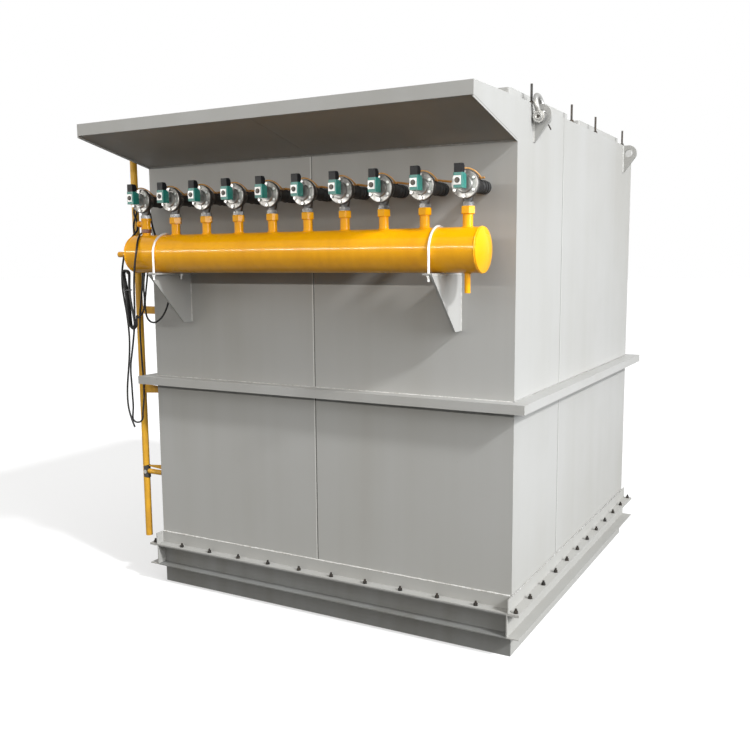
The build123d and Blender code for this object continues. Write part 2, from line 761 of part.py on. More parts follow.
tee_height = union_top_z - tee_bottom_z
with BuildPart() as tee:
    with Locations((tee_x, header_y, tee_bottom_z)):
        Cylinder(tee_radius, tee_height, align=stand_on_floor)
        Cylinder(tee_radius + tee_band, tee_band_height, align=stand_on_floor)
    with Locations((tee_x, header_y, union_top_z - tee_band_height)):
        Cylinder(tee_radius + tee_band, tee_band_height, align=stand_on_floor)
    arm_origin = (tee_x, header_y, tee_bottom_z + tee_height / 2)
    with BuildSketch(Plane(origin=arm_origin, x_dir=(0, 1, 0), z_dir=(-1, 0, 0))):
        Circle(tee_arm_radius)
    extrude(amount=tee_arm_reach)
    band_origin = (tee_x - tee_arm_reach, header_y, tee_bottom_z + tee_height / 2)
    band_plane = Plane(origin=band_origin, x_dir=(0, 1, 0), z_dir=(1, 0, 0))
    with BuildSketch(band_plane):
        Circle(tee_arm_radius + tee_band)
    extrude(amount=tee_band_height)
    with BuildSketch(band_plane):
        Circle(tee_arm_bore_radius)
    extrude(amount=tee_arm_reach, mode=Mode.SUBTRACT)
    with Locations((tee_x, header_y, tee_bottom_z)):
        Cylinder(stub_bore_radius, tee_height, align=stand_on_floor, mode=Mode.SUBTRACT)
save("side_tee", tee.part)

# Valve bodies: a hexagon collar, a neck that flares into the round chamber, which
# faces the front, and an outlet spigot towards the wall.
flange_front_y = header_y - body_front
with BuildPart() as valve_body:
    with BuildSketch(Plane.XY.offset(union_top_z)):
        RegularPolygon(collar_across / 2, 6, major_radius=False)
    extrude(amount=collar_height)
    with BuildSketch(Plane.XY.offset(union_top_z + collar_height)):
        Circle(neck_radius)
    with BuildSketch(Plane.XY.offset(valve_axis_z - neck_flare_drop)):
        with Locations((0, (body_back - body_front) / 2)):
            Ellipse(neck_flare_width / 2, neck_flare_depth / 2)
    loft()
    with BuildSketch(Plane(origin=(0, -body_front, valve_axis_z), x_dir=(1, 0, 0), z_dir=(0, 1, 0))):
        Circle(flange_radius)
    extrude(amount=flange_thick)
    with BuildSketch(Plane(origin=(0, -body_front, valve_axis_z), x_dir=(1, 0, 0), z_dir=(0, 1, 0))):
        Circle(body_radius)
    extrude(amount=body_front + body_back, taper=body_draft)
    with BuildSketch(Plane(origin=(0, 0, valve_axis_z), x_dir=(1, 0, 0), z_dir=(0, 1, 0))):
        Circle(outlet_radius)
    extrude(amount=header_stand_off - grommet_thick)
with BuildPart() as bodies:
    with Locations([(x, header_y, 0) for x in valve_xs]):
        add(valve_body.part)
save("valve_bodies", bodies.part)

# Black gaskets between the body flanges and the covers.
with BuildPart() as gaskets:
    with BuildSketch(Plane(origin=(0, flange_front_y, valve_axis_z), x_dir=(1, 0, 0), z_dir=(0, -1, 0))):
        with Locations([(x, 0) for x in valve_xs]):
            Circle(flange_radius + gasket_overhang)
            Circle(gasket_bore_radius, mode=Mode.SUBTRACT)
    extrude(amount=gasket_thick)
save("valve_gaskets", gaskets.part)

# Round covers bolted on the bodies: a rim with bolt bosses, ribs that run to them and
# a low dome that carries the coil's tube.
with BuildPart() as valve_cover:
    with BuildSketch(Plane.XZ):
        Circle(flange_radius)
    extrude(amount=cover_rim_thick)
    fillet(valve_cover.edges().group_by(Axis.Y)[0], radius=cover_rim_fillet)
    with BuildSketch(Plane.XZ.offset(cover_rim_thick)):
        Circle(cover_dome_radius)
    extrude(amount=cover_dome_height, taper=cover_dome_draft)
    with BuildSketch(Plane.XZ.offset(cover_rim_thick)):
        with PolarLocations(cover_bolt_circle, cover_bolts, start_angle=180 / cover_bolts):
            Circle(cover_boss_radius)
        with PolarLocations(0, cover_bolts, start_angle=180 / cover_bolts):
            Rectangle(cover_bolt_circle, cover_rib_width, align=(Align.MIN, Align.CENTER))
    extrude(amount=cover_boss_height)
    with BuildSketch(Plane.XZ.offset(cover_rim_thick + cover_dome_height)):
        Circle(plunger_radius)
    extrude(amount=plunger_length)
cover_depth = cover_rim_thick + cover_dome_height + plunger_length
cover_back_y = flange_front_y - gasket_thick
with BuildPart() as covers:
    with Locations([(x, cover_back_y, valve_axis_z) for x in valve_xs]):
        add(valve_cover.part)
save("valve_covers", covers.part)

# Coils, drawn from the side: Y from the back face forwards is negative, and the top
# slants down at the back.
coil_back_y = cover_back_y - cover_depth
coil_low_z = valve_axis_z + coil_raise - coil_height / 2
coil_top_z = coil_low_z + coil_height
with BuildPart() as coil:
    with BuildSketch(Plane.YZ):
        with BuildLine():
            Polyline(
                (0, coil_low_z),
                (-coil_depth, coil_low_z),
                (-coil_depth, coil_top_z),
                (-coil_slant_depth, coil_top_z),
                (0, coil_top_z - coil_slant_drop),
                close=True,
            )
        make_face()
    extrude(amount=coil_width / 2, both=True)
    fillet(coil.edges().filter_by(Axis.Z), radius=coil_corner_radius)
with BuildPart() as coils:
    with Locations([(x, coil_back_y, 0) for x in valve_xs]):
        add(coil.part)
save("valve_coils", coils.part)

# Plugs on the coils, with a cable gland at the back.
plug_front_y = coil_back_y - coil_depth + plug_set_back
with BuildPart() as plug:
    with BuildSketch(Plane.YZ):
        with BuildLine():
            Polyline(
                (0, coil_top_z),
                (0, coil_top_z + plug_height),
                (plug_top_depth, coil_top_z + plug_height),
                (plug_depth, coil_top_z + plug_height - plug_bevel_drop),
                (plug_depth, coil_top_z + plug_foot_height),
                (plug_foot_depth, coil_top_z),
                close=True,
            )
        make_face()
    extrude(amount=plug_width / 2, both=True)
    gland_origin = (0, plug_depth, coil_top_z + gland_height)
    with BuildSketch(Plane(origin=gland_origin, x_dir=(1, 0, 0), z_dir=(0, 1, 0))):
        Circle(gland_radius)
    extrude(amount=gland_length)
with BuildPart() as plugs:
    with Locations([(x, plug_front_y, 0) for x in valve_xs]):
        add(plug.part)
save("coil_plugs", plugs.part)

# Rubber sleeves on the outlet pipes and the rubber rings where they enter the wall.
sleeve_start = header_y + body_back + sleeve_clear
with BuildPart() as sleeves:
    with BuildSketch(Plane(origin=(0, sleeve_start, valve_axis_z), x_dir=(1, 0, 0), z_dir=(0, 1, 0))):
        with Locations([(x, 0) for x in valve_xs]):
            Circle(hose_radius)
            Circle(outlet_radius, mode=Mode.SUBTRACT)
    extrude(amount=hose_length)
save("outlet_sleeves", sleeves.part)

with BuildPart() as grommets:
    with BuildSketch(Plane(origin=(0, front_y, valve_axis_z), x_dir=(1, 0, 0), z_dir=(0, -1, 0))):
        with Locations([(x, 0) for x in valve_xs]):
            Circle(grommet_radius)
    extrude(amount=grommet_thick)
save("wall_grommets", grommets.part)

# Riser pipe with flat plates to the left wall and a branch into it near the foot.
riser_y = front_y + riser_from_front
with BuildPart() as riser:
    with BuildSketch(Plane.XY.offset(riser_bottom_z)):
        with Locations((riser_x, riser_y)):
            Circle(riser_radius)
            Circle(riser_bore_radius, mode=Mode.SUBTRACT)
    extrude(amount=riser_top_z - riser_bottom_z)
save("riser_pipe", riser.part)

riser_gap = -half_width - riser_x - riser_radius
with BuildPart() as riser_plates:
    for plate_z, tall_at_pipe, tall_at_wall in riser_plate_sizes:
        with BuildSketch(Plane(origin=(-half_width, riser_y, plate_z), x_dir=(1, 0, 0), z_dir=(0, -1, 0))):
            with BuildLine():
                Polyline(
                    (0, -tall_at_wall / 2),
                    (0, tall_at_wall / 2),
                    (-riser_gap, tall_at_pipe / 2),
                    (-riser_gap, -tall_at_pipe / 2),
                    close=True,
                )
            make_face()
        extrude(amount=riser_plate / 2, both=True)
save("riser_plates", riser_plates.part)

with BuildPart() as branch:
    with BuildSketch(Plane(origin=(-half_width, riser_y, branch_z), x_dir=(0, 1, 0), z_dir=(-1, 0, 0))):
        Circle(branch_radius)
        Circle(branch_bore_radius, mode=Mode.SUBTRACT)
    extrude(amount=riser_gap)
save("riser_branch", branch.part)

# Black rubber at both ends of the branch: a saddle half round the riser and a
# tapered collar at the wall, both cut out where the lowest plate passes.
saddle_span = riser_radius + seat_gap + saddle_thick
branch_hole_radius = branch_radius + seat_gap
with BuildPart() as branch_fitting:
    with BuildSketch(Plane.XY.offset(branch_z - saddle_radius)):
        with Locations((riser_x, riser_y)):
            Circle(saddle_span)
            Circle(riser_radius + seat_gap, mode=Mode.SUBTRACT)
            Rectangle(
                2 * saddle_span,
                2 * saddle_span,
                align=(Align.MAX, Align.CENTER),
                mode=Mode.SUBTRACT,
            )
    extrude(amount=2 * saddle_radius)
    with BuildSketch(Plane(origin=(riser_x, riser_y, branch_z), x_dir=(0, 1, 0), z_dir=(1, 0, 0))):
        Circle(saddle_radius)
    extrude(amount=saddle_span, mode=Mode.INTERSECT)
    collar_plane = Plane(origin=(-half_width, riser_y, branch_z), x_dir=(0, 1, 0), z_dir=(-1, 0, 0))
    with BuildSketch(collar_plane):
        Circle(collar_root_radius)
    with BuildSketch(collar_plane.offset(branch_collar_length)):
        Circle(collar_tip_radius)
    loft()
    with BuildSketch(collar_plane):
        Circle(branch_hole_radius)
    extrude(amount=riser_gap, mode=Mode.SUBTRACT)
    add(riser_plates.part, mode=Mode.SUBTRACT)
save("branch_fitting", branch_fitting.part)

# Rubber block against the first valve's sleeve. The cables start in it.
clamp_right = tee_x - hose_radius - seat_gap
clamp_low_z = valve_axis_z - clamp_height / 2
with BuildPart() as clamp:
    with Locations((clamp_right, sleeve_start, clamp_low_z)):
        Box(clamp_width, clamp_length, clamp_height, align=(Align.MAX, Align.MIN, Align.MIN))
save("cable_clamp", clamp.part)


def tube(points, tube_radius):
    """A round cable: straight runs through the points, with an arc at each corner."""
    runs = [Vector(end) - Vector(start) for start, end in zip(points, points[1:])]
    radii = []
    for before, after in zip(runs, runs[1:]):
        half_turn = radians(before.get_angle(after)) / 2
        radii.append(corner_share * min(before.length, after.length) / tan(half_turn))
    with BuildPart() as cable:
        with BuildLine() as line:
            FilletPolyline(*points, radius=radii)
        route = line.wire()
        with BuildSketch(Plane(origin=route @ 0, z_dir=route % 0)):
            Circle(tube_radius)
        sweep(path=route)
    share = cable.part.volume / (pi * tube_radius**2 * route.length)
    print("length", round(route.length), "radii", [round(r) for r in radii], "volume share", round(share, 4))
    return cable.part


# Amber leads from the glands, over the covers and back to a trunk that rests on the
# sleeves, sags a little between them and goes down into the rubber block.
trunk_points = []
for x in reversed(valve_xs):
    start_x = x + (trunk_end if x == valve_xs[-1] else trunk_rest)
    trunk_points += [(start_x, trunk_y, trunk_z), (x - trunk_rest, trunk_y, trunk_z)]
    if x != tee_x:
        trunk_points.append((x - valve_pitch / 2, trunk_y, trunk_z - trunk_sag))
clamp_x = clamp_right - clamp_width / 2
clamp_top_z = clamp_low_z + clamp_height
trunk_points += [
    (clamp_x + trunk_radius, trunk_y, trunk_z - 1),
    (clamp_x, trunk_y, trunk_z - 2 * trunk_radius),
    (clamp_x, trunk_y, clamp_top_z),
]
with BuildPart() as leads:
    add(tube(trunk_points, trunk_radius))
    lead = tube(lead_route, lead_radius)
    with Locations([(x, 0, 0) for x in valve_xs]):
        add(lead)
save("valve_leads", leads.part)

# Hanging cables and the coil that the last one is wound into.
for name, route_points in cable_routes.items():
    save(name, tube(route_points, cable_radius))

with BuildPart() as cable_coil:
    with BuildSketch(Plane(origin=(0, coil_y, 0), x_dir=(1, 0, 0), z_dir=(0, -1, 0))):
        with Locations(coil_top, coil_bottom):
            Circle(coil_end_radius)
        make_hull()
    extrude(amount=coil_thick / 2, both=True)
save("cable_coil", cable_coil.part)
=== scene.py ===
import json
from math import cos, pi, radians, sin

import bpy
from mathutils import Matrix, Vector


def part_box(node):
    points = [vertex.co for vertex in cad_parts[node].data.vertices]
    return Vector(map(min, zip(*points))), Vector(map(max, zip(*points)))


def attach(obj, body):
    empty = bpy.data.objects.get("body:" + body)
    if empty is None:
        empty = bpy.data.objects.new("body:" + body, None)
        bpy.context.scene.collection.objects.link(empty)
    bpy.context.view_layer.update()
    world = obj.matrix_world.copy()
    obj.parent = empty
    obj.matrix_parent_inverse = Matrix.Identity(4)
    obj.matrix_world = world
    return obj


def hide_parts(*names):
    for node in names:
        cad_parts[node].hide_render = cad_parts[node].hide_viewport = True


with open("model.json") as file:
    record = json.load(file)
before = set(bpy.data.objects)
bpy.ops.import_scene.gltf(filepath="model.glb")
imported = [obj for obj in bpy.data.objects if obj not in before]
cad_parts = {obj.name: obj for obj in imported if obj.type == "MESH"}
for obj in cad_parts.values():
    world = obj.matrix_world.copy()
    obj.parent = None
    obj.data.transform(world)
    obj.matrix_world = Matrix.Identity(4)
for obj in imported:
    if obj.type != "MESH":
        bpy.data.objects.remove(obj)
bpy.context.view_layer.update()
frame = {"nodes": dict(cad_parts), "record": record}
nodes = frame["nodes"]
scene = bpy.context.scene
scene.view_settings.view_transform = "Standard"


# Camera. It stands as high as the header pipe, off the housing's front right corner,
# and looks slightly down, as the photographer did.
camera_data = bpy.data.cameras.new("camera")
camera_data.lens = 41.737
camera_data.sensor_width = 36.0
camera_data.clip_end = 200.0
camera = bpy.data.objects.new("camera", camera_data)
camera.location = (2.5858, -3.9854, 2.0018)
camera.rotation_euler = (radians(82.4181), radians(0.4544), radians(28.9958))
scene.collection.objects.link(camera)
scene.camera = camera


# Floor and light. The floor is pale and keeps the housing's shadow, but throws little
# light back up under the canopy. The key light comes from the right, a little in front
# of the side wall, so that the canopy's end throws its shadow across the front wall.
def add_node(tree, kind, feeds=None, **settings):
    """A node with its settings made, each input fed by a plain value or another node's output."""
    node = tree.nodes.new(kind)
    for name, value in settings.items():
        setattr(node, name, value)
    for name, value in (feeds or {}).items():
        if isinstance(value, bpy.types.NodeSocket):
            tree.links.new(value, node.inputs[name])
        else:
            node.inputs[name].default_value = value
    return node


floor_material = bpy.data.materials.new("pale_floor")
floor_material.use_nodes = True
tree = floor_material.node_tree
shader = tree.nodes["Principled BSDF"]
shader.inputs["Roughness"].default_value = 0.9
shader.inputs["Specular IOR Level"].default_value = 0.1
rays = add_node(tree, "ShaderNodeLightPath").outputs
floor_seen = {0: rays["Is Camera Ray"], 1: rays["Is Glossy Ray"]}
seen_floor = add_node(tree, "ShaderNodeMath", floor_seen, operation="MAXIMUM")
floor_colours = {"A": (0.035, 0.035, 0.032, 1), "B": (0.62, 0.62, 0.62, 1), "Factor": seen_floor.outputs[0]}
floor_colour = add_node(tree, "ShaderNodeMix", floor_colours, data_type="RGBA")
tree.links.new(floor_colour.outputs["Result"], shader.inputs["Base Color"])
floor_glow = 0.40
glow = add_node(tree, "ShaderNodeMath", {0: rays["Is Camera Ray"], 1: floor_glow}, operation="MULTIPLY")
shader.inputs["Emission Color"].default_value = (1, 1, 1, 1)
tree.links.new(glow.outputs[0], shader.inputs["Emission Strength"])
bpy.ops.mesh.primitive_plane_add(size=160, location=(0, 0, -0.001))
floor = bpy.context.object
floor.name = "floor"
floor.data.materials.append(floor_material)

# The hall's light comes from above: a quarter of it at eye level, all of it overhead.
# A ray straight to the camera, a mirrored one and one through glass meet plain white.
world = bpy.data.worlds.new("studio")
world.use_nodes = True
scene.world = world
tree = world.node_tree
background = tree.nodes["Background"]
background.inputs["Color"].default_value = (1, 1, 1, 1)
sky_place = add_node(tree, "ShaderNodeTexCoord")
sky_height = add_node(tree, "ShaderNodeSeparateXYZ", {"Vector": sky_place.outputs["Generated"]})
sky_range = {"Value": sky_height.outputs["Z"], "From Max": 0.65, "To Min": 0.20, "To Max": 0.80}
sky_light = add_node(tree, "ShaderNodeMapRange", sky_range)
rays = add_node(tree, "ShaderNodeLightPath").outputs
plain_seen = {0: rays["Is Camera Ray"], 1: rays["Is Transmission Ray"]}
seen = add_node(tree, "ShaderNodeMath", plain_seen, operation="MAXIMUM")
gloss_seen = {0: seen.outputs[0], 1: rays["Is Glossy Ray"]}
seen_in_gloss = add_node(tree, "ShaderNodeMath", gloss_seen, operation="MAXIMUM")
white_range = {"Value": seen_in_gloss.outputs[0], "To Min": sky_light.outputs["Result"], "To Max": 1.0}
sky_strength = add_node(tree, "ShaderNodeMapRange", white_range)
tree.links.new(sky_strength.outputs["Result"], background.inputs["Strength"])


def add_light(name, kind, power, colour, spot, aim, up="Y"):
    data = bpy.data.lights.new(name, kind)
    data.energy = power
    data.color = colour
    light = bpy.data.objects.new(name, data)
    light.location = spot
    light.rotation_euler = Vector(aim).to_track_quat("-Z", up).to_euler()
    scene.collection.objects.link(light)
    return light


key = add_light("key", "SUN", 2.7, (0.985, 0.99, 1.0), (7.7, -2.2, 7.0), (-0.770, 0.215, -0.600))
key.data.angle = radians(5)

window = add_light("window", "AREA", 420, (0.95, 0.975, 1.0), (7.0, -1.4, 3.4), (-1, 0, -0.25))
window.data.shape = "RECTANGLE"
window.data.size = 5.0
window.data.size_y = 3.0

# The row of lamps is far brighter than the rest and shows as a thin line along the
# glossy header. The glint lamp gives that line alone and adds no light elsewhere.
for name, power, lamp_height in (("lamp_row", 950, 0.16), ("lamp_row_glint", 3000, 0.5)):
    lamp = add_light(name, "AREA", power, (1.0, 0.97, 0.91), (-6.0, -12.0, 5.4), (0, 1, -0.28), "Z")
    lamp.data.shape = "RECTANGLE"
    lamp.data.size = 36.0
    lamp.data.size_y = lamp_height
lamp.visible_diffuse = False


# Cables. Rubber-sheathed 11 mm leads that leave the rubber block beside the first
# hose: one ends bare near the ring, two hang in loops back into the block, and the
# last is wound into a small coil that a cable tie holds.
def new_material(name, colour, roughness, metallic=0.0, shine=None):
    """A plain material; shine names other sockets of the shader and their values."""
    material = bpy.data.materials.new(name)
    material.use_nodes = True
    sockets = material.node_tree.nodes["Principled BSDF"].inputs
    sockets["Base Color"].default_value = (*colour, 1)
    sockets["Roughness"].default_value = roughness
    sockets["Metallic"].default_value = metallic
    for socket_name, value in (shine or {}).items():
        sockets[socket_name].default_value = value
    return material


surface = bpy.data.node_groups.new("surface_pattern", "ShaderNodeTree")
pattern_scales = {"Patch Scale": 3.0, "Streak Scale": 12.0, "Grain Scale": 400.0}
for socket_name, usual_scale in pattern_scales.items():
    socket = surface.interface.new_socket(socket_name, in_out="INPUT", socket_type="NodeSocketFloat")
    socket.default_value = usual_scale
for socket_name in ("Patches", "Streaks", "Grain"):
    surface.interface.new_socket(socket_name, in_out="OUTPUT", socket_type="NodeSocketFloat")
group_in = add_node(surface, "NodeGroupInput")
group_out = add_node(surface, "NodeGroupOutput")
place = add_node(surface, "ShaderNodeTexCoord")
for output, scale_name, stretch, detail in (
    ("Patches", "Patch Scale", (1, 1, 1), 4.0),
    ("Streaks", "Streak Scale", (1, 1, 0.05), 3.0),
    ("Grain", "Grain Scale", (1, 1, 1), 2.0),
):
    stretched = {"Vector": place.outputs["Object"], "Scale": stretch}
    mapping = add_node(surface, "ShaderNodeMapping", stretched)
    sized = {"Vector": mapping.outputs["Vector"], "Scale": group_in.outputs[scale_name], "Detail": detail}
    noise = add_node(surface, "ShaderNodeTexNoise", sized)
    surface.links.new(noise.outputs["Fac"], group_out.inputs[output])


def weather(material, second_colour, spread, scales, rough_range, bump):
    """Second colour in soft patches and streaks, uneven gloss and a fine grain."""
    tree = material.node_tree
    bsdf = tree.nodes["Principled BSDF"]
    pattern = add_node(tree, "ShaderNodeGroup", node_tree=surface)
    for socket_name, value in zip(pattern_scales, scales):
        pattern.inputs[socket_name].default_value = value
    patches = pattern.outputs["Patches"]
    both = add_node(tree, "ShaderNodeMath", {0: patches, 1: pattern.outputs["Streaks"]}, operation="MULTIPLY")
    amount_range = {"Value": both.outputs[0], "From Min": 0.16, "From Max": 0.42, "To Max": spread}
    amount = add_node(tree, "ShaderNodeMapRange", amount_range)
    first_colour = tuple(bsdf.inputs["Base Color"].default_value)
    colours = {"A": first_colour, "B": (*second_colour, 1), "Factor": amount.outputs["Result"]}
    blend = add_node(tree, "ShaderNodeMix", colours, data_type="RGBA")
    tree.links.new(blend.outputs["Result"], bsdf.inputs["Base Color"])
    smooth, rough = rough_range
    gloss_range = {"Value": patches, "From Min": 0.3, "From Max": 0.7, "To Min": smooth, "To Max": rough}
    gloss = add_node(tree, "ShaderNodeMapRange", gloss_range)
    tree.links.new(gloss.outputs["Result"], bsdf.inputs["Roughness"])
    strength, distance = bump
    grain = {"Height": pattern.outputs["Grain"], "Strength": strength, "Distance": distance}
    relief = add_node(tree, "ShaderNodeBump", grain)
    tree.links.new(relief.outputs["Normal"], bsdf.inputs["Normal"])
    return blend.outputs["Result"]


sheath = new_material("cable_sheath", (0.009, 0.009, 0.010), 0.5, shine={"Specular IOR Level": 0.2})
weather(sheath, (0.030, 0.028, 0.025), 0.6, (14.0, 30.0, 700.0), (0.42, 0.6), (0.25, 0.0006))

cable_thickness = 0.011


def hang_cable(name, route, stands_for):
    curve = bpy.data.curves.new(name, "CURVE")
    curve.dimensions = "3D"
    curve.bevel_depth = cable_thickness / 2
    curve.bevel_resolution = 3
    curve.use_fill_caps = True
    curve.resolution_u = 5
    spline = curve.splines.new("NURBS")
    spline.points.add(len(route) - 1)
    for point, spot in zip(spline.points, route):
        point.co = (*spot, 1)
    spline.order_u = 3
    spline.use_endpoint_u = True
    cable = bpy.data.objects.new(name, curve)
    scene.collection.objects.link(cable)
    curve.materials.append(sheath)
    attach(cable, "housing")
    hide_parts(*stands_for)


left_route = [
    (-1.0563, -0.166, 2.338), (-1.086, -0.166, 2.338), (-1.112, -0.167, 2.327), (-1.128, -0.169, 2.304),
    (-1.130, -0.172, 2.274), (-1.099, -0.178, 2.227), (-1.089, -0.186, 2.198), (-1.085, -0.194, 2.178),
    (-1.089, -0.210, 2.161), (-1.095, -0.228, 2.140), (-1.100, -0.250, 2.109), (-1.113, -0.260, 2.074),
    (-1.131, -0.262, 2.032), (-1.149, -0.258, 1.983), (-1.167, -0.250, 1.926), (-1.177, -0.242, 1.856),
    (-1.172, -0.236, 1.783), (-1.159, -0.234, 1.707), (-1.151, -0.232, 1.625), (-1.149, -0.230, 1.543),
    (-1.160, -0.226, 1.447), (-1.180, -0.222, 1.344), (-1.194, -0.222, 1.247), (-1.195, -0.222, 1.157),
    (-1.178, -0.222, 1.085), (-1.146, -0.222, 1.021),
]
loop_route = [
    (-1.047, -0.178, 2.316), (-1.047, -0.178, 2.286), (-1.046, -0.177, 2.256), (-1.045, -0.177, 2.224),
    (-1.045, -0.182, 2.194), (-1.040, -0.196, 2.170), (-1.028, -0.221, 2.158), (-1.013, -0.249, 2.153),
    (-0.991, -0.281, 2.139), (-0.977, -0.308, 2.116), (-0.957, -0.339, 2.066), (-0.964, -0.344, 2.019),
    (-0.975, -0.343, 1.964), (-0.991, -0.335, 1.897), (-1.007, -0.322, 1.823), (-1.018, -0.312, 1.749),
    (-1.026, -0.307, 1.680), (-1.045, -0.296, 1.604), (-1.092, -0.262, 1.524), (-1.154, -0.213, 1.452),
    (-1.215, -0.164, 1.390), (-1.259, -0.122, 1.322), (-1.279, -0.098, 1.262), (-1.289, -0.086, 1.179),
    (-1.290, -0.082, 1.119), (-1.296, -0.081, 1.075), (-1.300, -0.082, 1.043), (-1.295, -0.079, 1.025),
    (-1.283, -0.070, 1.013), (-1.267, -0.058, 1.013), (-1.255, -0.049, 1.023), (-1.250, -0.046, 1.041),
    (-1.248, -0.046, 1.077), (-1.243, -0.040, 1.135), (-1.241, -0.034, 1.213), (-1.247, -0.031, 1.299),
    (-1.248, -0.035, 1.393), (-1.245, -0.042, 1.511), (-1.239, -0.050, 1.610), (-1.223, -0.058, 1.702),
    (-1.201, -0.066, 1.787), (-1.179, -0.072, 1.872), (-1.170, -0.076, 1.955), (-1.175, -0.084, 2.038),
    (-1.187, -0.096, 2.106), (-1.192, -0.110, 2.165), (-1.184, -0.124, 2.218), (-1.146, -0.132, 2.276),
    (-1.134, -0.137, 2.308), (-1.112, -0.140, 2.330), (-1.084, -0.140, 2.338), (-1.0563, -0.140, 2.338),
]
short_route = [
    (-1.029, -0.152, 2.316), (-1.029, -0.152, 2.286), (-1.019, -0.150, 2.260), (-1.018, -0.146, 2.217),
    (-1.011, -0.138, 2.172), (-1.003, -0.124, 2.123), (-0.993, -0.108, 2.071), (-0.978, -0.098, 2.013),
    (-0.963, -0.092, 1.949), (-0.955, -0.090, 1.879), (-0.950, -0.094, 1.815), (-0.955, -0.102, 1.757),
    (-0.977, -0.106, 1.706), (-1.012, -0.106, 1.665), (-1.056, -0.104, 1.639), (-1.101, -0.098, 1.639),
    (-1.138, -0.090, 1.662), (-1.156, -0.084, 1.707), (-1.158, -0.080, 1.768), (-1.149, -0.076, 1.839),
    (-1.136, -0.074, 1.916), (-1.118, -0.080, 1.990), (-1.097, -0.094, 2.061), (-1.078, -0.112, 2.124),
    (-1.047, -0.142, 2.184), (-1.036, -0.168, 2.248), (-1.029, -0.178, 2.284), (-1.029, -0.178, 2.316),
]
coiled_route = [
    (-1.047, -0.152, 2.316), (-1.047, -0.152, 2.284), (-1.051, -0.148, 2.250), (-1.058, -0.131, 2.214),
    (-1.096, -0.118, 2.154), (-1.107, -0.110, 2.087), (-1.122, -0.100, 2.020), (-1.133, -0.098, 1.952),
    (-1.143, -0.100, 1.884), (-1.141, -0.106, 1.825), (-1.126, -0.116, 1.770), (-1.121, -0.130, 1.720),
    (-1.119, -0.156, 1.686), (-1.113, -0.193, 1.669), (-1.084, -0.226, 1.688), (-1.064, -0.252, 1.686),
]
# The coil has three loose turns, one in front of the other, that the tie draws together
# and that fan out to the right below it. Each goes round in 16 steps: the bottom end,
# up the left, over the top and down the right, where it comes forward to the next turn.
coil_top = Vector((-1.110, -0.275, 1.928))
coil_bottom = Vector((-1.072, -0.275, 1.640))
down_coil = (coil_bottom - coil_top).normalized()
across_coil = Vector((-down_coil.z, 0, down_coil.x))
strand_pitch = 0.0114
turn_steps, left_starts, top_starts, right_starts = 16, 6, 8, 14
step_angle = 36
# For each turn: its end's radius, how far it sits to the side, and how far below the
# first; then how far its two left and two right points stand from the coil's middle.
turn_shapes = ((0.0215, -0.002, 0.0), (0.0225, 0.001, 0.004), (0.0225, 0.003, -0.006))
left_runs = ((-0.016, -0.014), (-0.013, -0.012), (-0.015, -0.013))
right_runs = ((0.002, 0.006), (0.008, 0.016), (0.014, 0.020))

for step in range(turn_steps * len(turn_shapes) - 2):
    turn, station = divmod(step, turn_steps)
    reach, sideways, lower = turn_shapes[turn]
    forward = turn - 1
    if station < left_starts:
        centre, angle = coil_bottom + down_coil * lower, step_angle * station
    elif station < top_starts:
        centre, angle = coil_bottom.lerp(coil_top, (station - left_starts + 1) / 3), 180
        sideways, reach = left_runs[turn][station - left_starts], 0
    elif station < right_starts:
        centre, angle = coil_top, step_angle * (station - 3)
    else:
        centre, angle = coil_top.lerp(coil_bottom, (station - right_starts + 1) / 3), 0
        sideways, reach = right_runs[turn][station - right_starts], 0
        forward += (station - right_starts + 1) / 3
    spot = centre + across_coil * (sideways + reach * cos(radians(angle)))
    spot += down_coil * reach * sin(radians(angle))
    coiled_route.append((spot.x, spot.y - strand_pitch * forward, spot.z))

hang_cable("cable_left", left_route, ["hanging_cable_left"])
hang_cable("cable_loop", loop_route, ["hanging_cable_loop"])
hang_cable("cable_short", short_route, ["hanging_cable_short"])
hang_cable("cable_coiled", coiled_route, ["hanging_cable_coiled", "cable_coil"])


def add_block(middle, size, turn=(0, 0, 0)):
    """A block at its place, with nothing else selected."""
    bpy.ops.object.select_all(action="DESELECT")
    bpy.ops.mesh.primitive_cube_add(size=1, location=middle, rotation=turn)
    block = bpy.context.object
    block.scale = size
    bpy.ops.object.transform_apply(location=True, rotation=True, scale=True)
    return block


def pick_nothing(kind):
    """Clears the active mesh's selection, so that code can pick parts of one kind."""
    bpy.ops.object.mode_set(mode="EDIT")
    bpy.ops.mesh.select_mode(type=kind)
    bpy.ops.mesh.select_all(action="DESELECT")
    bpy.ops.object.mode_set(mode="OBJECT")


def finish_with(piece, kind, **settings):
    """Sets a modifier on the active piece and applies it."""
    modifier = piece.modifiers.new(kind.lower(), kind)
    for name, value in settings.items():
        setattr(modifier, name, value)
    bpy.ops.object.modifier_apply(modifier=modifier.name)


tie_size = (0.044, 0.038, 0.005)
tie_lean = -0.131
tie_corner = 0.014
tie = add_block(coil_top.lerp(coil_bottom, 0.32), tie_size, (0, tie_lean, 0))
tie.name = "coil_tie"
pick_nothing("FACE")
for face in tie.data.polygons:
    face.select = abs(face.normal.z) > 0.9
bpy.ops.object.mode_set(mode="EDIT")
bpy.ops.mesh.delete(type="FACE")
bpy.ops.mesh.select_all(action="DESELECT")
bpy.ops.object.mode_set(mode="OBJECT")
for edge in tie.data.edges:
    ends = [tie.data.vertices[i].co for i in edge.vertices]
    edge.select = abs((ends[0] - ends[1]).z) > 0.9 * tie_size[2]
bpy.ops.object.mode_set(mode="EDIT")
bpy.ops.mesh.bevel(offset=tie_corner, segments=5)
bpy.ops.object.mode_set(mode="OBJECT")
finish_with(tie, "SOLIDIFY", thickness=0.0015)
tie_plastic = new_material("tie_nylon", (0.02, 0.02, 0.022), 0.35)
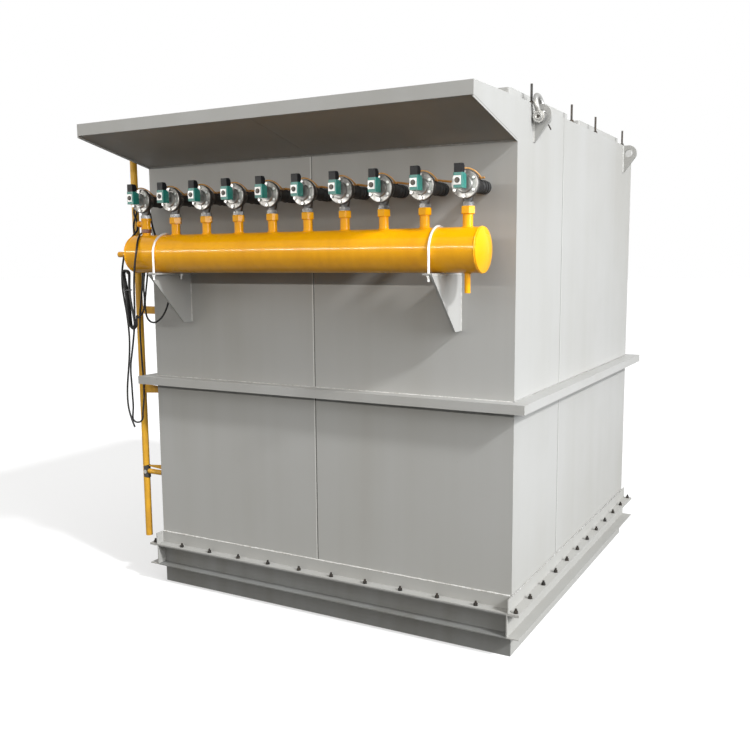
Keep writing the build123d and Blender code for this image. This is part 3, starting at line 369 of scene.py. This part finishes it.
weather(tie_plastic, (0.06, 0.06, 0.06), 0.4, (40.0, 60.0, 900.0), (0.3, 0.5), (0.1, 0.0004))
tie.data.materials.append(tie_plastic)
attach(tie, "housing")


# Painted steel. Walls, frames, lids and brackets are sheet and rolled sections in one
# light grey enamel, rolled on, so it has faint upright strokes, soft blotches, a few
# dark scuffs and more dust towards the foot.
dull = {"Specular IOR Level": 0.12}
grey_paint = new_material("grey_enamel", (0.403, 0.402, 0.39), 0.5, shine=dull)
grey_colour = weather(
    grey_paint, (0.355, 0.348, 0.325), 0.7, (1.1, 5.0, 320.0), (0.42, 0.58), (0.12, 0.0012)
)
tree = grey_paint.node_tree
grey_place = add_node(tree, "ShaderNodeTexCoord").outputs["Object"]
scuff_pattern = {"Vector": grey_place, "Scale": 26.0, "Detail": 6.0, "Roughness": 0.7}
scuffs = add_node(tree, "ShaderNodeTexNoise", scuff_pattern)
scuff_range = {"Value": scuffs.outputs["Fac"], "From Min": 0.70, "From Max": 0.78, "To Max": 0.7}
few_scuffs = add_node(tree, "ShaderNodeMapRange", scuff_range)
scuff_colours = {"A": grey_colour, "B": (0.14, 0.13, 0.12, 1), "Factor": few_scuffs.outputs["Result"]}
scuffed = add_node(tree, "ShaderNodeMix", scuff_colours, data_type="RGBA")
height = add_node(tree, "ShaderNodeSeparateXYZ", {"Vector": grey_place})
foot_range = {"Value": height.outputs["Z"], "From Min": 0.9, "From Max": 0.0, "To Max": 0.45}
foot = add_node(tree, "ShaderNodeMapRange", foot_range)
dust_colours = {"A": scuffed.outputs["Result"], "B": (0.34, 0.335, 0.31, 1), "Factor": foot.outputs["Result"]}
dusty = add_node(tree, "ShaderNodeMix", dust_colours, data_type="RGBA")
tree.links.new(dusty.outputs["Result"], tree.nodes["Principled BSDF"].inputs["Base Color"])


def nodes_in(slot):
    return [part["node"] for part in frame["record"]["subparts"] if part["material_slot"] == slot]


def paint_nodes(names, material):
    for name in names:
        nodes[name].data.materials.clear()
        nodes[name].data.materials.append(material)


paint_nodes(nodes_in("grey_paint"), grey_paint)

# The channel and skirt along the front and rear take a darker grey: painted shade for the shade on the low
# front and rear.
shade_darkened_paint = new_material("shade_darkened_grey_coat", (0.225, 0.228, 0.222), 0.5, shine=dull)
weather(shade_darkened_paint, (0.17, 0.166, 0.152), 0.8, (2.6, 7.0, 320.0), (0.42, 0.58), (0.12, 0.0012))
paint_nodes(["channel_ends", "skirt_ends"], shade_darkened_paint)


# Weld beads. The angle and the ring are welded to the walls, the brackets and lugs to
# their sheets, with a rippled bead that was painted over; its lighter colour is a
# painted highlight along the bead.
highlit_weld_paint = new_material("highlit_weld_enamel", (0.62, 0.62, 0.60), 0.42)
weather(highlit_weld_paint, (0.33, 0.31, 0.27), 0.8, (30.0, 60.0, 500.0), (0.35, 0.55), (0.5, 0.001))

ripple_length = 0.009
ripple_taper = 0.72
weld_lump = 0.022


def add_cylinder(sides, radius, length, middle, turn=(0, 0, 0), ends="NGON"):
    """A cylinder at its place, with nothing else selected."""
    bpy.ops.object.select_all(action="DESELECT")
    bpy.ops.mesh.primitive_cylinder_add(
        vertices=sides, radius=radius, depth=length, location=middle, rotation=turn, end_fill_type=ends
    )
    bpy.ops.object.transform_apply(location=True, rotation=True, scale=True)
    return bpy.context.object


def make_uneven(piece, lump_size, strength):
    """Pushes the active piece's surface in and out in small lumps."""
    lumps = bpy.data.textures.new("lumps", "CLOUDS")
    lumps.noise_scale = lump_size
    finish_with(piece, "DISPLACE", texture=lumps, texture_coords="GLOBAL", strength=strength)


def lay_bead(start, end, radius):
    """Ripples in a row from start to end, each a short six-sided ring."""
    start, end = Vector(start), Vector(end)
    run = end - start
    bead = add_cylinder(6, radius, ripple_length, (0, 0, ripple_length / 2), ends="NOTHING")
    pick_nothing("VERT")
    for vertex in bead.data.vertices:
        vertex.select = vertex.co.z > ripple_length / 2
    bpy.ops.object.mode_set(mode="EDIT")
    bpy.ops.transform.resize(value=(ripple_taper, ripple_taper, 1), center_override=(0, 0, ripple_length))
    bpy.ops.object.mode_set(mode="OBJECT")
    finish_with(
        bead,
        "ARRAY",
        use_relative_offset=False,
        use_constant_offset=True,
        constant_offset_displace=(0, 0, ripple_length),
        count=max(int(run.length / ripple_length), 2),
    )
    bead.matrix_world = Matrix.Translation(start) @ run.to_track_quat("Z", "Y").to_matrix().to_4x4()
    bpy.ops.object.transform_apply(location=True, rotation=True, scale=True)
    make_uneven(bead, weld_lump, radius * 1.3)
    return bead


def joined(pieces):
    bpy.ops.object.select_all(action="DESELECT")
    for piece in pieces:
        piece.select_set(True)
    bpy.context.view_layer.objects.active = pieces[0]
    if len(pieces) > 1:
        bpy.ops.object.join()
    return bpy.context.object


def join_pieces(pieces, name, material, body="housing"):
    """Makes one finished piece of many, with its name, finish, slot and body."""
    whole = joined(pieces)
    whole.name = name
    whole.data.materials.clear()
    whole.data.materials.append(material)
    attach(whole, body)
    return whole


# The roof plate lies flush with the four walls' outer faces.
(left_x, front_y, roof_under), (right_x, rear_y, roof_top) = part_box("roof_plate")
angle_foot, angle_top = (corner[2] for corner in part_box("flange_ends"))
ring_foot, ring_top = (corner[2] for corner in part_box("ring_ends"))
corners = [(right_x, front_y), (right_x, rear_y), (left_x, rear_y), (left_x, front_y)]
bead_out = 0.003
# Each line of weld round the frame, as its height and its bead's radius.
frame_lines = ((angle_top, 0.0045), (ring_top, 0.0042), (ring_foot, 0.0035))
frame_beads = []
for index, (x1, y1) in enumerate(corners):
    x2, y2 = corners[(index + 1) % 4]
    out = Vector((y2 - y1, x1 - x2, 0)).normalized() * bead_out
    for z, radius in frame_lines:
        frame_beads.append(lay_bead((x1 + out.x, y1 + out.y, z), (x2 + out.x, y2 + out.y, z), radius))
join_pieces(frame_beads, "frame_welds", highlit_weld_paint)

bracket_beads = []
thin_bead, wall_bead, lug_bead = 0.003, 0.0035, 0.0045
bracket_low, bracket_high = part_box("header_brackets")
gusset_half = 0.006
gusset_x = bracket_high[0] - gusset_half
gusset_foot, gusset_head = bracket_low[2] + 0.002, bracket_high[2] - 0.010
wall_line = front_y - 0.002
shelf_under = bracket_high[2] - 0.009
shelf_start, shelf_end = front_y - 0.004, bracket_low[1] + 0.007
for middle_x in (-gusset_x, gusset_x):
    for x in (middle_x - gusset_half, middle_x + gusset_half):
        bracket_beads.append(lay_bead((x, wall_line, gusset_foot), (x, wall_line, gusset_head), wall_bead))
        bracket_beads.append(lay_bead((x, shelf_start, shelf_under), (x, shelf_end, shelf_under), thin_bead))
lug_half = 0.010
lug_ys = (0.225, 2.055)
lug_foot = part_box("lugs_left")[0][2] + 0.001
for x in (left_x - 0.001, right_x + 0.001):
    for y in lug_ys:
        for face in (-lug_half, lug_half):
            bracket_beads.append(lay_bead((x, y + face, lug_foot), (x, y + face, roof_under), lug_bead))
riser_plate_y, riser_plate_half = 0.030, 0.003
riser_plate_zs = (1.703, 1.212, 0.718)
plate_bead_x, plate_bead_half = left_x - 0.0005, 0.015
for middle_z in riser_plate_zs:
    low, high = middle_z - plate_bead_half, middle_z + plate_bead_half
    for y in (riser_plate_y - riser_plate_half, riser_plate_y + riser_plate_half):
        bracket_beads.append(lay_bead((plate_bead_x, y, low), (plate_bead_x, y, high), thin_bead))
canopy_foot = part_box("canopy_underside")[0][2]
canopy_line = (front_y - 0.003, canopy_foot - 0.002)
canopy_bead_x = right_x - 0.007
bracket_beads.append(lay_bead((-canopy_bead_x, *canopy_line), (canopy_bead_x, *canopy_line), thin_bead))
join_pieces(bracket_beads, "bracket_welds", highlit_weld_paint)


# Base bolts. M12 bolts hold the angle on the channel, 216 mm apart: a stud end and nut
# on a washer above, the bolt head below the channel's flange.
bolt_steel = new_material("black_bolt_steel", (0.022, 0.021, 0.020), 0.45, 0.5)
weather(bolt_steel, (0.06, 0.045, 0.03), 0.7, (60.0, 90.0, 900.0), (0.35, 0.6), (0.3, 0.0006))


edge_ease = 0.0008


def upright_stack(rows):
    """Round and six-sided pieces on one upright axis, from sides, radius, foot and top."""
    pieces = []
    for sides, radius, low, high in rows:
        piece = add_cylinder(sides, radius, high - low, (0, 0, (low + high) / 2))
        finish_with(piece, "BEVEL", width=edge_ease, segments=2)
        pieces.append(piece)
    return joined(pieces)


def copies_at(original, places):
    """Copies of a piece, each with its own mesh, moved to the places."""
    made = []
    for spot in places:
        copy = original.copy()
        copy.data = original.data.copy()
        scene.collection.objects.link(copy)
        copy.data.transform(Matrix.Translation(spot))
        made.append(copy)
    bpy.data.objects.remove(original)
    return made


flange_plate = 0.006
leg_top = angle_foot + flange_plate
channel_under = angle_foot - flange_plate
washer_top, nut_top, stud_top = leg_top + 0.0025, leg_top + 0.0130, leg_top + 0.0240
head_foot = channel_under - 0.0080
bolt = upright_stack((
    (24, 0.0120, leg_top, washer_top),
    (6, 0.0110, washer_top, nut_top),
    (16, 0.0060, nut_top, stud_top),
    (6, 0.0110, head_foot, channel_under),
))

bolt_pitch, bolts_a_side = 0.216, 10
bolt_out = 0.037
bolt_xs = (left_x - bolt_out, right_x + bolt_out)
bolt_ys = (front_y - bolt_out, rear_y + bolt_out)
middle_y = (front_y + rear_y) / 2
bolt_places = [(x, y, 0) for x in bolt_xs for y in bolt_ys]
for number in range(bolts_a_side):
    along = (number - (bolts_a_side - 1) / 2) * bolt_pitch
    bolt_places += [(along, y, 0) for y in bolt_ys]
    bolt_places += [(x, middle_y + along, 0) for x in bolt_xs]
join_pieces(copies_at(bolt, bolt_places), "base_bolts", bolt_steel)


# Roof studs. Black threaded rod that stands up beside the lids to clamp them down,
# with a washer and nut at its foot.
stud_steel = new_material("black_stud_steel", (0.09, 0.087, 0.082), 0.4, 0.7)
weather(stud_steel, (0.15, 0.10, 0.06), 0.7, (50.0, 80.0, 900.0), (0.35, 0.6), (0.3, 0.0006))
tree = stud_steel.node_tree
stud_place = add_node(tree, "ShaderNodeTexCoord")
thread_pattern = {"Vector": stud_place.outputs["Object"], "Scale": 180.0}
thread = add_node(tree, "ShaderNodeTexWave", thread_pattern, bands_direction="Z")
thread_depth = {"Height": thread.outputs["Fac"], "Strength": 0.8, "Distance": 0.001}
thread_relief = add_node(tree, "ShaderNodeBump", thread_depth)
tree.links.new(thread_relief.outputs["Normal"], tree.nodes["Principled BSDF"].inputs["Normal"])
paint_nodes(["roof_studs"], stud_steel)

stud_washer_top, stud_nut_top = roof_top + 0.003, roof_top + 0.013
stud_nut = upright_stack((
    (24, 0.015, roof_top, stud_washer_top),
    (6, 0.0115, stud_washer_top, stud_nut_top),
))
stud_x = 1.138
stud_ys = (0.211, 0.886, 1.382, 2.057)
stud_places = [(x, y, 0) for x in (-stud_x, stud_x) for y in stud_ys]
join_pieces(copies_at(stud_nut, stud_places), "stud_nuts", stud_steel)


# Panel joints. The wall sheets meet in a filled joint over the bar behind them: a dark
# line of sealant beside a pale strip on one sheet's edge, which is a painted highlight.
# One dark material serves the panel joints' sealant and the painted shade line under the canopy's ends.
sealant_and_shade_line = new_material("joint_sealant_and_shade_line", (0.05, 0.05, 0.045), 0.6)
weather(sealant_and_shade_line, (0.16, 0.155, 0.14), 0.7, (9.0, 14.0, 500.0), (0.5, 0.7), (0.3, 0.0008))
edge_highlight_paint = new_material("painted_edge_highlight", (0.60, 0.60, 0.58), 0.45)
weather(edge_highlight_paint, (0.44, 0.43, 0.40), 0.7, (6.0, 9.0, 500.0), (0.4, 0.6), (0.3, 0.0008))


def add_strip(low, high):
    """A thin strip between two corners."""
    return add_block([(a + b) / 2 for a, b in zip(low, high)], [b - a for a, b in zip(low, high)])


# The joints' edges, seen from outside: where the sealant and the pale highlight strip
# start and end, across the front and rear from their middle, and along the sides from
# the joint.
front_sealant, front_edge_highlight = (-0.0024, 0.0040), (-0.0085, -0.0024)
side_sealant, side_edge_highlight = (-0.0012, 0.0012), (0.0012, 0.0072)
strip_thick = 0.0008
joint_end = 0.004
joint_heights = (
    (angle_top + joint_end, ring_foot - joint_end),
    (ring_top + joint_end, canopy_foot - 2 * joint_end),
)
side_joint_y = 0.710
dark_joints, pale_edge_highlights = [], []
for low, high in joint_heights:
    for strips, across, along in (
        (dark_joints, front_sealant, side_sealant),
        (pale_edge_highlights, front_edge_highlight, side_edge_highlight),
    ):
        for y in (front_y - strip_thick, rear_y):
            strips.append(add_strip((across[0], y, low), (across[1], y + strip_thick, high)))
        start, end = side_joint_y + along[0], side_joint_y + along[1]
        for x in (left_x - strip_thick, right_x):
            strips.append(add_strip((x, start, low), (x + strip_thick, end, high)))
join_pieces(dark_joints, "joint_sealant_and_shade_line", sealant_and_shade_line)
join_pieces(pale_edge_highlights, "joint_edge_highlights", edge_highlight_paint)


# Canopy edge. Along the underside at the canopy's sloping ends runs a thin black bead in
# the sealant's material: painted shade for the shadow line under the end sheets' edge.
canopy_slope = Vector((0, -0.531, 0.120))
slope_turn = canopy_slope.to_track_quat("Z", "X").to_euler()
slope_length = 0.548
slope_middle_y, slope_middle_z = -0.2785, 2.6132
slope_x = right_x - 0.0025
shade_line_radius = 0.0028
slope_shade_line = add_cylinder(10, shade_line_radius, slope_length, (0, 0, 0), slope_turn)
slope_places = [(x, slope_middle_y, slope_middle_z) for x in (-slope_x, slope_x)]
join_pieces(copies_at(slope_shade_line, slope_places), "canopy_shade_line", sealant_and_shade_line)


# Yellow paint. The header, its stubs and nuts, the tee and the riser are steel pipe in
# glossy golden enamel, brushed on thickly, a little browner where it is thin or worn.
wet_gloss = {"Specular IOR Level": 0.06, "Coat Weight": 0.35, "Coat Roughness": 0.06}
yellow_paint = new_material("yellow_enamel", (0.97, 0.45, 0.002), 0.3, shine=wet_gloss)
weather(yellow_paint, (0.82, 0.34, 0.002), 0.6, (5.0, 22.0, 60.0), (0.26, 0.36), (0.05, 0.0015))
paint_nodes(nodes_in("yellow_paint"), yellow_paint)

# The riser, its branch and its plates take a darker, browner yellow: painted shade for the housing's shade
# they stand in, with browner patches of wear.
riser_shaded_paint = new_material("worn_and_shaded_yellow_enamel", (0.74, 0.40, 0.03), 0.42, shine={"Specular IOR Level": 0.2})
weather(riser_shaded_paint, (0.42, 0.20, 0.03), 0.9, (7.0, 26.0, 200.0), (0.35, 0.6), (0.2, 0.0012))
paint_nodes(["riser_pipe", "riser_branch", "riser_plates"], riser_shaded_paint)


def add_ring(middle, ring_radius, thickness, axis, around=48):
    """A ring round an axis through its middle."""
    bpy.ops.object.select_all(action="DESELECT")
    bpy.ops.mesh.primitive_torus_add(
        major_radius=ring_radius,
        minor_radius=thickness,
        major_segments=around,
        minor_segments=8,
        location=middle,
        rotation=Vector(axis).to_track_quat("Z", "X").to_euler(),
    )
    ring = bpy.context.object
    bpy.ops.object.transform_apply(location=True, rotation=True, scale=True)
    return ring


along_x, along_y, along_z = (1, 0, 0), (0, 1, 0), (0, 0, 1)
header_low, header_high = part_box("header_pipe")
header_x = header_high[0]
header_y = (header_low[1] + header_high[1]) / 2
header_z = (header_low[2] + header_high[2]) / 2
valve_pitch, valve_count = 0.220, 10
valve_xs = [(number - (valve_count - 1) / 2) * valve_pitch for number in range(valve_count)]

# A lumpy weld holds each cap on the pipe. Smoother ones run round the foot of each
# stub, of the drain and of the inlet.
cap_weld_radius, cap_weld_thick = 0.1055, 0.0035
cap_weld_lump, cap_weld_rise = 0.012, 0.005
weld_rings = []
for x in (-header_x, header_x):
    cap_weld = add_ring((x, header_y, header_z), cap_weld_radius, cap_weld_thick, along_x, 160)
    make_uneven(cap_weld, cap_weld_lump, cap_weld_rise)
    weld_rings.append(cap_weld)
stub_weld_z, drain_weld_z, inlet_weld_x = 2.1455, 1.9355, -1.0925
for x in valve_xs:
    weld_rings.append(add_ring((x, header_y, stub_weld_z), 0.0255, 0.0042, along_z))
weld_rings.append(add_ring((valve_xs[-1], header_y, drain_weld_z), 0.0155, 0.004, along_z))
weld_rings.append(add_ring((inlet_weld_x, header_y, header_z), 0.0185, 0.004, along_x))
header_welds = join_pieces(weld_rings, "header_welds", yellow_paint)
header_welds.data.shade_smooth()

# The socket below the first stub's tee is still in its red primer.
primer = new_material("red_primer", (0.16, 0.045, 0.022), 0.5)
weather(primer, (0.30, 0.12, 0.03), 0.7, (40.0, 60.0, 600.0), (0.4, 0.6), (0.3, 0.0008))
socket_radius, socket_length, socket_z = 0.0285, 0.020, 2.1705
tee_socket = add_cylinder(48, socket_radius, socket_length, (valve_xs[0], header_y, socket_z))
finish_with(tee_socket, "BEVEL", width=0.002, segments=3)
join_pieces([tee_socket], "tee_socket", primer)


# Zinc parts. The header's U-bolts are bright zinc rod, nearly white in this light, and
# the shackle is galvanised, a duller grey with a spangle.
bright_zinc = new_material("bright_zinc", (0.86, 0.86, 0.85), 0.38, 0.35)
weather(bright_zinc, (0.62, 0.62, 0.60), 0.6, (20.0, 30.0, 700.0), (0.3, 0.5), (0.1, 0.0005))
paint_nodes(["header_straps"], bright_zinc)

galvanised = new_material("galvanised", (0.42, 0.42, 0.41), 0.42, 0.75)
weather(galvanised, (0.22, 0.21, 0.19), 0.8, (30.0, 40.0, 500.0), (0.3, 0.6), (0.3, 0.0008))
paint_nodes(["shackle_bow", "shackle_pin"], galvanised)

# The pin has a rounded rim, a dark disc on its head's face that is painted shade for a hollow there, and a
# split pin through its end.
facing_front = (pi / 2, 0, 0)
pin_x, pin_z = 1.186, 2.6793
pin_front, pin_rear = 0.1745, 0.3175
rim_radius, rim_thick = 0.0165, 0.0032
pin_rims = [add_ring((pin_x, y, pin_z), rim_radius, rim_thick, along_y) for y in (pin_front, pin_rear)]
join_pieces(pin_rims, "pin_rims", galvanised, "shackle")
pin_dark = new_material("dark_steel_and_hollow_shade", (0.035, 0.035, 0.034), 0.5, 0.6)
weather(pin_dark, (0.10, 0.08, 0.06), 0.6, (40.0, 60.0, 900.0), (0.35, 0.6), (0.3, 0.0006))
dark_steel_and_hollow_shade = add_cylinder(24, 0.0085, 0.0016, (pin_x, pin_front - 0.0002, pin_z), facing_front)
split_pin_middle = (pin_x + 0.006, pin_rear - 0.0045, pin_z - 0.022)
split_pin_radius, split_pin_length, split_pin_lean = 0.0035, 0.060, radians(-28)
split_pin = add_cylinder(12, split_pin_radius, split_pin_length, split_pin_middle, (0, split_pin_lean, 0))
join_pieces([dark_steel_and_hollow_shade, split_pin], "split_pin", pin_dark, "shackle")


# Valves. Die-cast bodies and covers with a fine sandy skin and dark patches; six bolts
# hold each cover on its black gasket. The bodies take a darker casting than the covers:
# painted shade for the shade behind and under the covers.
casting = new_material("cast_aluminium", (0.34, 0.335, 0.325), 0.33, 0.85)
weather(casting, (0.07, 0.066, 0.06), 0.9, (24.0, 30.0, 900.0), (0.3, 0.55), (0.35, 0.0008))
paint_nodes(["valve_covers"], casting)
shade_darkened_casting = new_material("shade_darkened_casting", (0.15, 0.148, 0.145), 0.26, 0.85)
weather(shade_darkened_casting, (0.04, 0.038, 0.035), 0.85, (24.0, 30.0, 900.0), (0.2, 0.42), (0.25, 0.0008))
paint_nodes(["valve_bodies"], shade_darkened_casting)

rubber = new_material("black_rubber", (0.010, 0.010, 0.010), 0.55)
weather(rubber, (0.03, 0.029, 0.027), 0.6, (16.0, 24.0, 700.0), (0.5, 0.72), (0.25, 0.0008))
paint_nodes(nodes_in("black_rubber"), rubber)

valve_places = [(x, 0, 0) for x in valve_xs]
valve_z = 2.338
screw_steel = new_material("screw_steel", (0.80, 0.80, 0.79), 0.25, 0.7)
weather(screw_steel, (0.25, 0.24, 0.22), 0.6, (60.0, 80.0, 900.0), (0.25, 0.5), (0.2, 0.0005))
screw_circle, screw_y = 0.054, -0.26825
screw_radius, screw_height = 0.0070, 0.0045
screw_heads = []
for corner in range(6):
    angle = radians(30 + 60 * corner)
    head_middle = (screw_circle * cos(angle), screw_y, valve_z + screw_circle * sin(angle))
    screw_heads.append(add_cylinder(6, screw_radius, screw_height, head_middle, facing_front))
join_pieces(copies_at(joined(screw_heads), valve_places), "cover_screws", screw_steel)


# Hoses. A black hose carries each outlet on from the sleeve to the wall, with three
# rubber rings over it: one against the wall, one halfway and one at the sleeve.
hose_radius, hose_length, hose_middle = 0.0275, 0.064, (0, -0.064, valve_z)
# Each ring's place along the hose, its radius and its thickness.
hose_rings = ((-0.0335, 0.0300, 0.0040), (-0.0600, 0.0290, 0.0045), (-0.0980, 0.0300, 0.0040))
hose_parts = [add_cylinder(40, hose_radius, hose_length, hose_middle, facing_front)]
for y, ring_radius, thickness in hose_rings:
    hose_parts.append(add_ring((0, y, valve_z), ring_radius, thickness, along_y))
hose = joined(hose_parts)
hose.data.shade_smooth()
join_pieces(copies_at(hose, valve_places), "wall_hoses", rubber)


# Coils. Green moulded coils with a plain pale clamping plate, a washer and a nut on the
# front face, and black plugs with a cable gland from which an amber lead runs off.
coil_plastic = new_material("green_coil", (0.003, 0.205, 0.168), 0.32)
weather(coil_plastic, (0.002, 0.12, 0.10), 0.7, (18.0, 24.0, 700.0), (0.28, 0.42), (0.12, 0.0006))
paint_nodes(["valve_coils"], coil_plastic)
plug_plastic = new_material("black_plug", (0.006, 0.006, 0.008), 0.42, shine={"Specular IOR Level": 0.15})
weather(plug_plastic, (0.014, 0.014, 0.016), 0.5, (24.0, 30.0, 900.0), (0.35, 0.5), (0.2, 0.0006))
paint_nodes(["coil_plugs"], plug_plastic)
amber = new_material("amber_lead", (0.56, 0.27, 0.05), 0.32)
weather(amber, (0.34, 0.16, 0.04), 0.6, (14.0, 20.0, 700.0), (0.28, 0.45), (0.1, 0.0005))
paint_nodes(["valve_leads"], amber)

coil_low, coil_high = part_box("valve_coils")
coil_front = coil_low[1]
coil_middle = (coil_low[2] + coil_high[2]) / 2
plate_x = -0.002
plate_width, plate_thick, plate_height = 0.036, 0.0016, 0.040
plate_steel = new_material("clamp_plate", (0.70, 0.71, 0.70), 0.35, 0.25)
weather(plate_steel, (0.46, 0.46, 0.45), 0.6, (30.0, 40.0, 700.0), (0.3, 0.5), (0.1, 0.0004))
plate_middle = (plate_x, coil_front - plate_thick / 2, coil_middle)
plate = add_block(plate_middle, (plate_width, plate_thick, plate_height))
finish_with(plate, "BEVEL", width=0.0005, segments=2)
join_pieces(copies_at(plate, valve_places), "coil_plates", plate_steel)

coil_washer, coil_nut = 0.0030, 0.0080
nut_rows = ((28, 0.0130, plate_thick, coil_washer), (6, 0.0095, coil_washer, coil_nut))
nut_parts = []
for sides, radius, low, high in nut_rows:
    nut_middle = (plate_x, coil_front - (low + high) / 2, coil_middle)
    nut_parts.append(add_cylinder(sides, radius, high - low, nut_middle, facing_front))
join_pieces(copies_at(joined(nut_parts), valve_places), "coil_nuts", pin_dark)

gland_radius, gland_length, gland_middle = 0.0105, 0.007, (0, -0.2995, 2.404)
gland_nut = add_cylinder(6, gland_radius, gland_length, gland_middle, facing_front)
finish_with(gland_nut, "BEVEL", width=0.0006, segments=2)
join_pieces(copies_at(gland_nut, valve_places), "gland_nuts", plug_plastic)


# Branch. The black fitting on the riser's short branch ends at the front in a cut
# piece of galvanised pipe, of which only the round end shows.
pipe_end_radius, pipe_end_length, pipe_end_middle = 0.0125, 0.004, (-1.2985, 0.0035, 0.682)
pipe_end = add_cylinder(28, pipe_end_radius, pipe_end_length, pipe_end_middle, facing_front)
join_pieces([pipe_end], "branch_pipe_end", galvanised)
